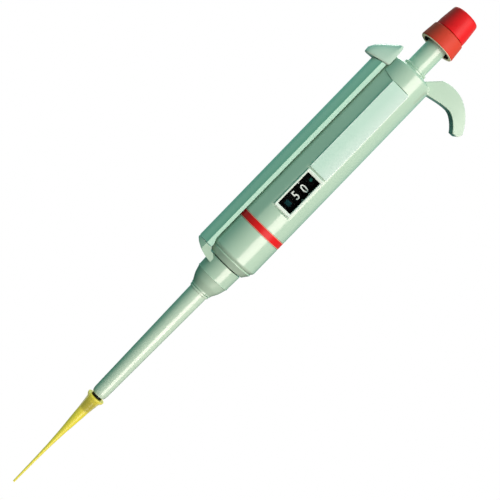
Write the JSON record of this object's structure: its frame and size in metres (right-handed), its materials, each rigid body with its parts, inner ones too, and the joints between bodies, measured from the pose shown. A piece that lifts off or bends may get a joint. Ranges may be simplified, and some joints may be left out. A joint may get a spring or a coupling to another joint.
{
  "type": "micropipette",
  "caption": "Adjustable hand-held pipette with push button, finger hook, digit window, tip ejector bar and disposable tip.",
  "frame": {"origin": "on the pipette's long axis, level with the root of the finger hook's underside", "axes": "+Z along the long axis from the tip to the push button; the label and window face -Y; the ejector bar is at -X and the finger hook at +X"},
  "size_m": [0.0532, 0.023, 0.2713],
  "materials": {
    "shell_plastic": "pale green, smooth",
    "label_panel": "pale mint, bare",
    "window_frame": "near white",
    "window_clear": "clear",
    "red_band": "smooth",
    "button_plastic": "satin",
    "cap_plastic": "smooth",
    "drum_plastic": "black",
    "dark_plastic": "black",
    "inner_plastic": "off white",
    "spring_steel": "bright",
    "thread_brass": "turned",
    "seal_rubber": "soft",
    "tip_plastic": "yellow, slightly clear"
  },
  "bodies": {
    "handle": {"handle_housing": "shell_plastic", "top_collar": "shell_plastic", "label_plate": "label_panel", "window_bezel": "window_frame", "window_lens": "window_clear", "colour_band": "red_band", "thread_sleeve": "thread_brass", "counter_frame": "inner_plastic", "upper_spacer": "inner_plastic", "lower_spacer": "inner_plastic", "seal_retainer": "spring_steel", "coupling_nut": "shell_plastic", "shaft": "dark_plastic", "piston_seal": "inner_plastic", "o_ring": "seal_rubber", "tip_cone": "dark_plastic", "ejector_guide_rod": "spring_steel", "piston_spring": "spring_steel", "blowout_spring": "spring_steel", "ejector_spring": "spring_steel"},
    "stop": {"thrust_washer": "spring_steel"},
    "micrometer": {"volume_screw": "thread_brass"},
    "plunger": {"piston_plate": "inner_plastic", "piston": "spring_steel"},
    "button": {"push_button": "button_plastic", "button_cap": "cap_plastic", "plunger_tube": "shell_plastic"},
    "units": {"counter_sleeve": "inner_plastic", "fine_drum": "drum_plastic", "units_drum": "drum_plastic"},
    "tens": {"tens_drum": "drum_plastic"},
    "hundreds": {"hundreds_drum": "drum_plastic"},
    "blowout": {"blowout_plate": "spring_steel"},
    "ejector": {"ejector_bar": "shell_plastic", "thumb_key": "shell_plastic", "key_pin": "spring_steel", "ejector_head": "shell_plastic", "ejector_tube": "shell_plastic", "arm_screw": "spring_steel"},
    "tip": {"pipette_tip": "tip_plastic"}
  },
  "joints": [
    {"name": "volume_lift", "type": "slide", "parent": "handle", "child": "stop", "axis": [0, 0, 1], "range_m": [-0.00294, 0.0049]},
    {"name": "micrometer_turn", "type": "hinge", "parent": "stop", "child": "micrometer", "pos_m": [0, 0, 0], "axis": [0, 0, 1], "range_deg": [-1081, 1801]},
    {"name": "plunger_press", "type": "slide", "parent": "stop", "child": "plunger", "axis": [0, 0, -1], "range_m": [0, 0.0075], "stiffness_N_per_m": 300, "springref_m": -0.01, "deforming": ["piston_spring"]},
    {"name": "volume_turn", "type": "hinge", "parent": "plunger", "child": "button", "pos_m": [0, 0, 0], "axis": [0, 0, 1], "range_deg": [-1081, 1801]},
    {"name": "units_turn", "type": "hinge", "parent": "handle", "child": "units", "pos_m": [0, 0, 0], "axis": [0, 0, 1], "range_deg": [-1081, 1801]},
    {"name": "tens_turn", "type": "hinge", "parent": "handle", "child": "tens", "pos_m": [0, 0, 0], "axis": [0, 0, 1], "range_deg": [-108.1, 180.1]},
    {"name": "hundreds_turn", "type": "hinge", "parent": "handle", "child": "hundreds", "pos_m": [0, 0, 0], "axis": [0, 0, 1], "range_deg": [-10.81, 18.01]},
    {"name": "blowout_press", "type": "slide", "parent": "handle", "child": "blowout", "axis": [0, 0, -1], "range_m": [0, 0.00261], "deforming": ["blowout_spring"]},
    {"name": "ejector_press", "type": "slide", "parent": "handle", "child": "ejector", "axis": [0, 0, -1], "range_m": [0, 0.0095], "stiffness_N_per_m": 350, "springref_m": -0.006, "deforming": ["ejector_spring"]},
    {"name": "tip_release", "type": "slide", "parent": "handle", "child": "tip", "axis": [0, 0, -1], "range_m": [0, 0.0096]}
  ],
  "couplings": [
    {"joint": "volume_turn", "follows": "volume_lift", "rad_per_m": 6411.4},
    {"joint": "micrometer_turn", "follows": "volume_lift", "rad_per_m": 6411.4},
    {"joint": "units_turn", "follows": "volume_lift", "rad_per_m": 6411.4},
    {"joint": "tens_turn", "follows": "volume_lift", "rad_per_m": 641.14},
    {"joint": "hundreds_turn", "follows": "volume_lift", "rad_per_m": 64.114},
    {"joint": "blowout_press", "follows": "plunger_press", "ratio": 0.34667},
    {"joint": "tip_release", "follows": "ejector_press", "ratio": 1}
  ]
}
